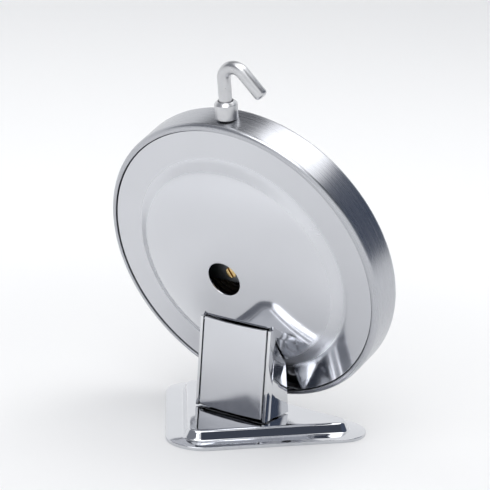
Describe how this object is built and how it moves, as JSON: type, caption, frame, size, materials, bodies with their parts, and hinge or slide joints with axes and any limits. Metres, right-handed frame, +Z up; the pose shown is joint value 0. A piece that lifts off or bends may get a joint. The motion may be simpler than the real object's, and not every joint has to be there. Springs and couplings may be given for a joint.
{
  "type": "dial oven thermometer",
  "caption": "Round dial oven thermometer in a domed steel case, with a hanging hook on top and a short post on a three-cornered foot.",
  "frame": {"origin": "middle of the overall footprint, on the surface that the foot stands on", "axes": "+Z up, +Y towards the back plate (the dial faces -Y), +X to the left of someone who reads the dial from behind it"},
  "size_m": [0.0706, 0.0408, 0.0845],
  "materials": {
    "brushed_steel": "stainless steel, grain running round the rim",
    "polished_steel": "stainless steel, polished almost to a mirror",
    "satin_steel": "stainless steel, satin",
    "inner_steel": "plain rolled steel",
    "brass": "turned brass",
    "bimetal": "bimetal strip, heat darkened",
    "glass": "clear tempered glass",
    "dial_white": "matt white enamel with a printed scale",
    "pointer_black": "matt black paint"
  },
  "bodies": {
    "case": {"case_ring": "brushed_steel", "back_plate": "polished_steel", "window_glass": "glass", "spacer_ring": "inner_steel", "clamp_ring": "inner_steel", "dial_plate": "dial_white", "front_bush": "brass", "bimetal_coil": "bimetal", "coil_anchor": "brass", "bridge": "inner_steel", "bridge_screw_left": "brass", "bridge_screw_right": "brass", "stop_pin": "brass", "hook_collar": "satin_steel", "base_plate": "polished_steel", "stand_post": "satin_steel", "post_panel": "polished_steel", "case_rivet_left": "satin_steel", "case_rivet_right": "satin_steel", "base_rivet_left": "satin_steel", "base_rivet_right": "satin_steel"},
    "needle": {"staff": "brass", "coil_collet": "brass", "pointer_hub": "brass", "pointer": "pointer_black"},
    "hook": {"hook_rod": "satin_steel"}
  },
  "joints": [
    {"name": "pointer_turn", "type": "hinge", "parent": "case", "child": "needle", "pos_m": [0, 0.00087, 0.03814], "axis": [0, 0.9239, -0.3827], "range_deg": [-35, 305], "stiffness_Nm_per_rad": 0.001},
    {"name": "hook_swivel", "type": "hinge", "parent": "case", "child": "hook", "pos_m": [-0.00092, 0.01112, 0.07191], "axis": [-0.026, 0.2671, 0.9633], "continuous": true}
  ]
}
